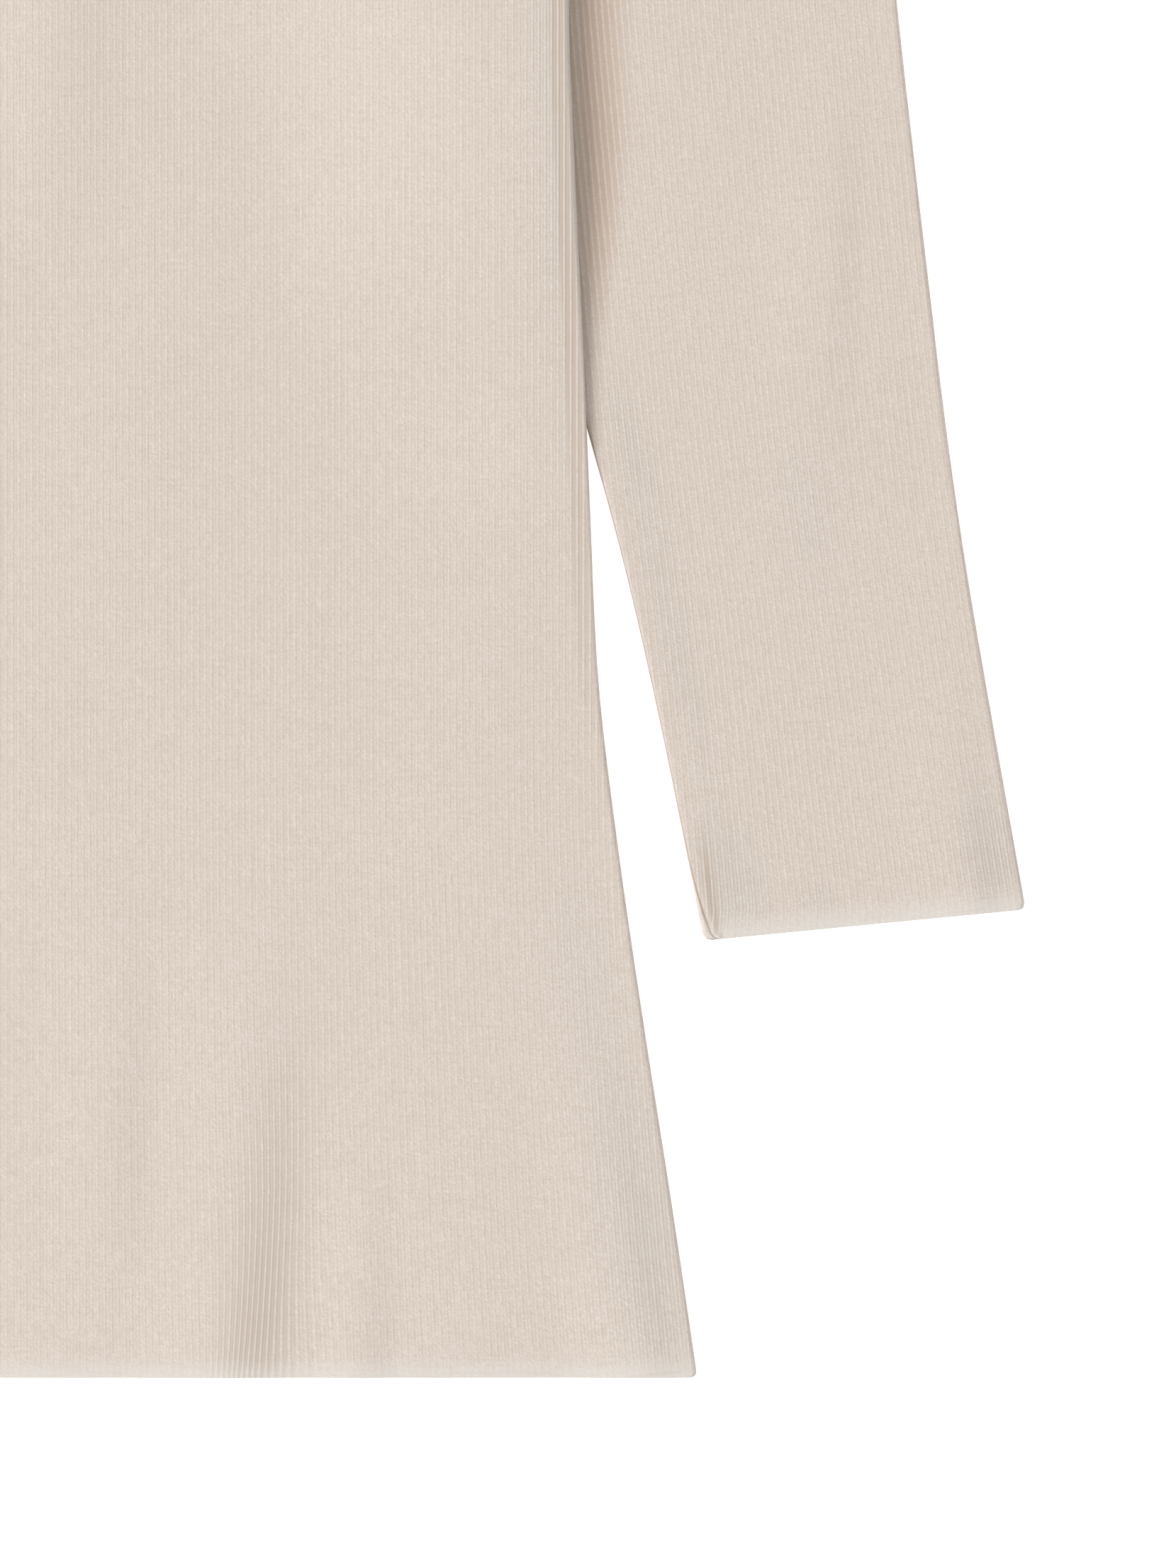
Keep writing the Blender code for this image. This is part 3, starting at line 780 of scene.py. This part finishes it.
def sleeve_heights():
    """Heights on the inner edge at which sections start. In the cap they follow the outer edge."""
    cuff = [CUFF_INNER + up for up in (0, 0.25, 0.8, CORNER, 4.0)]
    long = list(np.linspace(CUFF_INNER + 8, RIBBED_TO, 48))
    every = np.linspace(RIBBED_TO, UNDERARM, 800)
    cap = np.interp(np.linspace(576, 764, 42), smooth(SECTIONS, every), every)
    return cuff + long + list(cap) + [UNDERARM - short for short in (0.6, 0.3, 0.12, 0)]


def sleeve(name, side, folds, shade_spots, material):
    shell = Shell()
    outer, inner = [
        [sleeve_row(shell, inner_h, side, folds, shade_spots, depth, steps) for inner_h in sleeve_heights()]
        for depth, steps in ((0.0, STEPS), (WALL, INNER_STEPS))
    ]
    left = side > 0
    for rows, turned in ((outer, not left), (inner, left)):
        for low, high in zip(rows, rows[1:]):
            join_sleeve_rows(shell, low, high, turned)
    for end, turned in ((0, left), (-1, not left)):
        shell.join(*[(rows[end].ids, rows[end].shares) for rows in (outer, inner)], turned)
    return shell.piece(name, material)


# The neckband

BAND_ROWS = (0.0, 0.05, 0.13, 0.25, 0.4, 0.6, 0.78, 0.9, 0.97, 1.0)  # shares of the way across


def neck_seam(share, neck_drop):
    """A point of the band's seam, this share of the way from the centre line to the shoulder."""
    x = share * NECK_HALF
    return x, top_edge(x, neck_drop)


def band_columns(neck_drop):
    """The ribs along half of the band, their shares of the way, and how far they turn round its end."""
    shares = np.linspace(0, 1, 400)
    seam_x, seam_h = neck_seam(shares, neck_drop)
    length = np.insert(np.cumsum(np.hypot(np.diff(seam_x), np.diff(seam_h))), 0, 0)
    stop = float(np.interp(NECK_HALF - BAND_RADIUS, seam_x, length))
    quarter = math.pi / 2 * BAND_RADIUS
    total = (stop + quarter) / RIB
    rib = np.append(np.arange(0, int(total * STEPS - 0.3) + 1) / STEPS, total)
    along = rib * RIB
    share = np.interp(np.minimum(along, stop), length, shares)
    return rib, share, np.clip((along - stop) / quarter, 0, 1) * math.pi / 2


def band_wall(shell, neck_drop, face, depth):
    """One wall of the band, in rows from its seam to the neck's opening."""
    rib, share, turn = band_columns(neck_drop)
    seam_x, seam_h = neck_seam(share, neck_drop)
    stretch = share / share[-1]
    open_x = stretch * (NECK_HALF - BAND_END_IN - BAND_RADIUS)
    drop = neck_drop - BAND_WIDTH + BAND_END_UP
    open_h = LENGTH + BAND_END_UP - drop * (1 - stretch**NECK_CURVE)
    thick = BAND_RADIUS - depth
    past = thick * np.sin(turn)
    end = math.hypot(BAND_END_IN, BAND_END_UP)
    zero = np.zeros(len(rib))
    rows = []
    for across in BAND_ROWS:
        x = seam_x + (open_x - seam_x) * across + past * (BAND_END_UP / end)
        height = seam_h + (open_h - seam_h) * across + past * (BAND_END_IN / end)
        edges = 0.45 * (max(0.0, 1 - across / 0.1) ** 2 + max(0.0, (across - 0.9) / 0.1) ** 2)
        sunk = (0.8 * ribbed(rib) + edges) * (depth == 0)
        z = BAND_RADIUS + face * np.maximum(thick * np.cos(turn) - sunk, CLOSED)
        seam = zero + math.exp(-((across / 0.06) ** 2)) * 0.6
        tone = np.stack([zero, zero, seam, zero], 1)
        right = (x, height, z, rib, zero + across * BAND_WIDTH / COURSE, zero, tone)
        rows.append(shell.whole_row((-x, height, z, -rib) + right[4:], right))
    return Layer(rows, list(range(len(rows))))


def neckband(name, neck_drop, face, material):
    shell = Shell()
    outer = band_wall(shell, neck_drop, face, 0.0)
    inner = band_wall(shell, neck_drop, face, BAND_WALL)
    shell.join_walls(outer, inner, face > 0)
    return shell.piece(name, material)


# Materials

KNIT = (0.723, 0.651, 0.595, 1.0)
SHADE = (0.560, 0.470, 0.395, 1.0)
HOLE = (0.440, 0.330, 0.240, 1.0)
# A painted cool, greyish shade
PAINTED_COOL_TINT = (0.690, 0.672, 0.632, 1.0)
SEAM_BROWN = (0.36, 0.25, 0.17, 1.0)
HEM_PALE = (0.690, 0.660, 0.618, 1.0)
# The painted warm shade multiplies the colour by this
PAINTED_WARM_SHADE = (0.87, 0.75, 0.66, 1.0)  # by which the warm shade multiplies
SHEEN = (1.0, 0.96, 0.92, 1.0)
# How strongly each of these colours the cloth
PAINTED_COOL_SHARE, HEM_SHARE, SEAM_SHARE, PAINTED_WARM_SHARE = 0.8, 0.9, 0.7, 0.5
STREAK_SHARE, STITCH_SHARE = 0.18, 0.75
HOLE_DEPTH, BAND_HOLE_DEPTH = 0.6, 0.35


def node(tree, kind, **values):
    made = tree.nodes.new(kind)
    for key, value in values.items():
        setattr(made, key, value)
    return made


def fill(tree, sockets, values):
    """Gives each socket its value, which is a number, a colour or another node's socket."""
    for socket, value in zip(sockets, values):
        if isinstance(value, (int, float, tuple)):
            socket.default_value = value
        else:
            tree.links.new(value, socket)


def math_node(tree, operation, *values):
    made = node(tree, "ShaderNodeMath", operation=operation)
    fill(tree, made.inputs, values)
    return made.outputs[0]


def times(tree, first, second):
    return math_node(tree, "MULTIPLY", first, second)


def scaled(tree, value, by, plus):
    return math_node(tree, "MULTIPLY_ADD", value, by, plus)


def mixed(tree, factor, first, second, blend="MIX"):
    """A colour mixed by factor."""
    made = node(tree, "ShaderNodeMix", data_type="RGBA", blend_type=blend)
    fill(tree, (made.inputs[0], made.inputs[6], made.inputs[7]), (factor, first, second))
    return made.outputs[2]


def wave(tree, value, turns=1.0, shift=0.0):
    """0 to 1 and back, this many times for each step of value."""
    angle = scaled(tree, value, 2 * math.pi * turns, shift)
    return scaled(tree, math_node(tree, "COSINE", angle), 0.5, 0.5)


def ranged(tree, value, low, high):
    """0 below low, 1 above high, and smooth between them."""
    made = node(tree, "ShaderNodeMapRange", interpolation_type="SMOOTHSTEP")
    sockets = [made.inputs[title] for title in ("Value", "From Min", "From Max")]
    fill(tree, sockets, (value, low, high))
    return made.outputs[0]


def knit_group(name, inputs, outputs):
    """A node group that reads the knit attribute and puts out numbers."""
    tree = bpy.data.node_groups.new(name, "ShaderNodeTree")
    tree.interface.new_socket(name="Knit", in_out="INPUT", socket_type="NodeSocketVector")
    for title in inputs:
        socket = tree.interface.new_socket(name=title, in_out="INPUT", socket_type="NodeSocketFloat")
        socket.default_value = 1.0
    for title in outputs:
        tree.interface.new_socket(name=title, in_out="OUTPUT", socket_type="NodeSocketFloat")
    return tree, tree.nodes.new("NodeGroupInput"), tree.nodes.new("NodeGroupOutput")


def stitches_group():
    """Stitches, two to a rib and staggered, with a small dark hole beside each."""
    names = ("Hole", "Height", "Valley", "Trough", "Stitch")
    tree, given, result = knit_group("Stitches", ["Open"], names)
    parts = node(tree, "ShaderNodeSeparateXYZ")
    tree.links.new(given.outputs["Knit"], parts.inputs[0])
    rib, course = parts.outputs[0], parts.outputs[1]
    between = wave(tree, rib, 2.0, math.pi)
    slant = scaled(tree, rib, 3.0, course)
    dot = times(tree, math_node(tree, "POWER", between, 0.7), wave(tree, slant))
    hole = times(tree, ranged(tree, dot, 0.30, 0.90), given.outputs["Open"])
    legs = times(tree, wave(tree, slant, 1.0, math.pi), 0.35)
    height = math_node(tree, "SUBTRACT", legs, hole)
    trough = math_node(tree, "SUBTRACT", 1.0, wave(tree, rib))
    valley = math_node(tree, "POWER", trough, 2.4)
    cell = node(tree, "ShaderNodeCombineXYZ")
    across = math_node(tree, "FLOOR", times(tree, rib, 4.0))
    fill(tree, cell.inputs, (across, math_node(tree, "FLOOR", times(tree, slant, 2.0))))
    each = node(tree, "ShaderNodeTexWhiteNoise")
    tree.links.new(cell.outputs[0], each.inputs["Vector"])
    fill(tree, result.inputs, (hole, height, valley, trough, each.outputs["Value"]))
    return tree


def yarn_group():
    """Uneven yarn: streaks along the courses, ribs that show more or less, and loose clusters."""
    names = ("Streak", "Patch", "Region", "Cluster", "Grain")
    tree, given, result = knit_group("Uneven yarn", [], names)

    def noise(across, along, detail, roughness):
        """Noise in steps of a rib across and of a row of stitches along."""
        placed = node(tree, "ShaderNodeVectorMath", operation="MULTIPLY")
        fill(tree, placed.inputs, (given.outputs["Knit"], (across, along, 0.0)))
        made = node(tree, "ShaderNodeTexNoise")
        sockets = [made.inputs[title] for title in ("Vector", "Scale", "Detail", "Roughness")]
        fill(tree, sockets, (placed.outputs[0], 1.0, detail, roughness))
        return made.outputs["Fac"]

    streak = ranged(tree, noise(0.13, 0.55, 1.0, 0.5), 0.55, 0.70)
    patch = ranged(tree, noise(0.95, 0.018, 2.0, 0.5), 0.32, 0.68)
    region = ranged(tree, noise(0.035, 0.008, 1.0, 0.5), 0.36, 0.64)
    cluster = ranged(tree, noise(0.85, 0.10, 2.0, 0.6), 0.36, 0.68)
    fill(tree, result.inputs, (streak, patch, region, cluster, noise(1.1, 0.9, 2.0, 0.6)))
    return tree


STITCHES = stitches_group()
YARN = yarn_group()
Tone = namedtuple("Tone", "cool hem seam warm")


def tones(tree):
    """The four shares of the tone attribute."""
    tone = node(tree, "ShaderNodeAttribute", attribute_name="tone")
    parts = node(tree, "ShaderNodeSeparateColor")
    tree.links.new(tone.outputs["Color"], parts.inputs[0])
    return Tone(*parts.outputs, tone.outputs["Alpha"])


def opened(tree, tone, drawn, cluster):
    """How far the stitches' holes open: in clusters, where ribs are drawn in, in the painted cool
    shade, and never on a hem.
    """
    gathered = scaled(tree, drawn, 0.5, scaled(tree, cluster, 0.45, 0.46))
    gathered = scaled(tree, tone.cool, 0.8, gathered)
    return times(tree, gathered, math_node(tree, "SUBTRACT", 1.0, tone.hem))


def knit_colour(tree, tone, drawn, stitches, yarn, hole_depth):
    """The cloth's colour, with its tones and the shade between its ribs and in its holes."""
    # Painted cool shade
    colour = mixed(tree, times(tree, tone.cool, PAINTED_COOL_SHARE), KNIT, PAINTED_COOL_TINT)
    pale = math_node(tree, "POWER", tone.hem, 1.4)
    colour = mixed(tree, times(tree, pale, HEM_SHARE), colour, HEM_PALE)

    # Painted shade in the ribs' valleys and troughs: patchy, deeper where ribs are drawn in and in the
    # painted warm shade
    patchy = scaled(tree, yarn["Patch"], 0.15, 0.16)
    patchy = times(tree, patchy, scaled(tree, yarn["Region"], 0.8, 0.5))
    deeper = scaled(tree, drawn, 0.45, scaled(tree, tone.warm, 0.95, patchy))
    off_hem = scaled(tree, math_node(tree, "SUBTRACT", 1.0, tone.hem), 0.6, 0.4)
    valley = times(tree, times(tree, stitches["Valley"], deeper), off_hem)
    colour = mixed(tree, valley, colour, SHADE)
    between = scaled(tree, drawn, 0.42, times(tree, tone.warm, 0.7))
    between = times(tree, between, scaled(tree, tone.hem, -0.35, 1.0))
    colour = mixed(tree, times(tree, stitches["Trough"], between), colour, SHADE)

    colour = mixed(tree, times(tree, stitches["Hole"], hole_depth), colour, HOLE)
    colour = mixed(tree, times(tree, yarn["Streak"], STREAK_SHARE), colour, SHADE)
    each = times(tree, times(tree, stitches["Stitch"], STITCH_SHARE), off_hem)
    colour = mixed(tree, each, colour, SHADE)
    colour = mixed(tree, times(tree, tone.seam, SEAM_SHARE), colour, SEAM_BROWN)
    # The painted warm shade, multiplied over the rest
    return mixed(tree, times(tree, tone.warm, PAINTED_WARM_SHARE), colour, PAINTED_WARM_SHADE, "MULTIPLY")


def knit_material(name, hole_depth):
    """Matt knit. Its pattern follows the cloth by the knit attribute: rib, course and drawn in."""
    material = bpy.data.materials.new(name)
    material.use_nodes = True
    tree = material.node_tree
    shader = tree.nodes["Principled BSDF"]
    knit = node(tree, "ShaderNodeAttribute", attribute_name="knit").outputs["Vector"]
    places = node(tree, "ShaderNodeSeparateXYZ")
    drawn = places.outputs[2]
    stitches = node(tree, "ShaderNodeGroup", node_tree=STITCHES)
    yarn = node(tree, "ShaderNodeGroup", node_tree=YARN)
    for target in (places.inputs[0], stitches.inputs["Knit"], yarn.inputs["Knit"]):
        tree.links.new(knit, target)
    tone = tones(tree)
    tree.links.new(opened(tree, tone, drawn, yarn.outputs["Cluster"]), stitches.inputs["Open"])
    colour = knit_colour(tree, tone, drawn, stitches.outputs, yarn.outputs, hole_depth)
    grain = yarn.outputs["Grain"]
    bump = node(tree, "ShaderNodeBump")
    bump.inputs["Strength"].default_value = 0.6
    bump.inputs["Distance"].default_value = 0.12 * MM
    tree.links.new(scaled(tree, grain, 0.5, stitches.outputs["Height"]), bump.inputs["Height"])
    finish = {
        "Base Color": colour,
        "Normal": bump.outputs[0],
        "Roughness": scaled(tree, grain, 0.12, 0.82),
        "Specular IOR Level": 0.25,
        "Sheen Weight": 0.12,
        "Sheen Roughness": 0.6,
        "Sheen Tint": SHEEN,
    }
    fill(tree, [shader.inputs[title] for title in finish], finish.values())
    return material


RIB_KNIT = knit_material("rib_knit", HOLE_DEPTH)
NECK_RIB = knit_material("neck_rib", BAND_HOLE_DEPTH)

front = panel("front_cloth", 1, FRONT_NECK_DROP, STEPS, INNER_STEPS, RIB_KNIT)
back = panel("back_cloth", -1, BACK_NECK_DROP, BACK_STEPS, NECK_STEPS, RIB_KNIT)
left = sleeve("sleeve_left_cloth", 1, LEFT_SLEEVE_FOLDS, LEFT_SLEEVE_SHADE_SPOTS, RIB_KNIT)
right = sleeve("sleeve_right_cloth", -1, RIGHT_SLEEVE_FOLDS, RIGHT_SLEEVE_SHADE_SPOTS, RIB_KNIT)
band_front = neckband("neckband_front_cloth", FRONT_NECK_DROP, 1, NECK_RIB)
band_back = neckband("neckband_back_cloth", BACK_NECK_DROP, -1, NECK_RIB)

Cut = namedtuple("Cut", "piece node slot flat area rests_on")
CUTS = (
    Cut(front, "front", "rib_knit", (0.404, 0.800), 0.271, ["back"]),
    Cut(back, "back", "rib_knit", (0.404, 0.800), 0.279, ["sleeve_left", "sleeve_right"]),
    Cut(left, "sleeve_left", "rib_knit", (0.26, 0.62), 0.112, []),
    Cut(right, "sleeve_right", "rib_knit", (0.26, 0.62), 0.112, []),
    Cut(band_front, "neckband_front", "neck_rib", (0.012, 0.240), 0.0027, ["back"]),
    Cut(band_back, "neckband_back", "neck_rib", (0.012, 0.190), 0.0020, []),
)
for cut in CUTS:
    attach(cut.piece, "root")
    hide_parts(cut.node)

# Floor, light and camera

FAR = 12000.0  # how far the floor reaches
FLOOR_AT, UNDER_SHIRT_AT = -0.3, -0.2  # levels of the floor and of its unlit part under the shirt
IN_FROM_EDGE = 4.0  # of the shirt, to that part
PALE = (0.93, 0.93, 0.93, 1.0)
WHITE = (1.0, 1.0, 1.0, 1.0)
WORLD_STRENGTH = 0.7
MM_PER_PIXEL = 0.205
PHOTO_WIDE, PHOTO_HIGH = 1659, 2212
HEM_ROW = 1943  # of the photograph's pixels, from the top
LENS, SENSOR = 120.0, 24.0


def flat_stage(name, outline, level, glow):
    """A pale, matt, level face. A glow keeps it white round the shirt."""
    mesh = bpy.data.meshes.new(name)
    mesh.from_pydata([(x * MM, y * MM, level * MM) for x, y in outline], [], [range(len(outline))])
    made = bpy.data.objects.new(name, mesh)
    bpy.context.scene.collection.objects.link(made)
    material = bpy.data.materials.new(name)
    material.use_nodes = True
    shader = material.node_tree.nodes["Principled BSDF"]
    shader.inputs["Base Color"].default_value = PALE
    shader.inputs["Roughness"].default_value = 0.9
    shader.inputs["Emission Color"].default_value = WHITE
    shader.inputs["Emission Strength"].default_value = glow
    mesh.materials.append(material)


def floor():
    flat_stage("floor", [(-FAR, -FAR), (FAR, -FAR), (FAR, FAR), (-FAR, FAR)], FLOOR_AT, glow=0.6)
    heights = np.linspace(5, UNDERARM, 30)
    side = [(float(half_width(height)) - IN_FROM_EDGE, height - OVERALL / 2) for height in heights]
    outline = side + [(-x, y) for x, y in reversed(side)]
    flat_stage("floor_under_shirt", outline, UNDER_SHIRT_AT, glow=0.0)


def lamp(name, place, size, power, aim):
    light = bpy.data.lights.new(name, "AREA")
    light.shape = "SQUARE"
    light.size = size
    light.energy = power
    made = bpy.data.objects.new(name, light)
    made.location = place
    made.rotation_euler = (Vector(aim) - Vector(place)).to_track_quat("-Z", "Y").to_euler()
    bpy.context.scene.collection.objects.link(made)


floor()
lamp("key", place=(-6.2, 0.25, 5.19), size=4.5, power=513.0, aim=(0.1, -0.2, 0.0))
world = bpy.data.worlds.new("studio")
bpy.context.scene.world = world
world.use_nodes = True
world.node_tree.nodes["Background"].inputs["Color"].default_value = WHITE
world.node_tree.nodes["Background"].inputs["Strength"].default_value = WORLD_STRENGTH
bpy.context.scene.view_settings.view_transform = "Standard"
bpy.context.scene.view_settings.look = "None"

camera_data = bpy.data.cameras.new("camera")
camera_data.sensor_fit = "VERTICAL"
camera_data.sensor_height = SENSOR
camera_data.lens = LENS
camera = bpy.data.objects.new("camera", camera_data)
centre_x = PHOTO_WIDE / 2 * MM_PER_PIXEL
centre_height = (HEM_ROW - PHOTO_HIGH / 2) * MM_PER_PIXEL
distance = PHOTO_HIGH * MM_PER_PIXEL * MM * LENS / SENSOR
camera.location = (centre_x * MM, (centre_height - OVERALL / 2) * MM, distance)
bpy.context.scene.collection.objects.link(camera)
bpy.context.scene.camera = camera
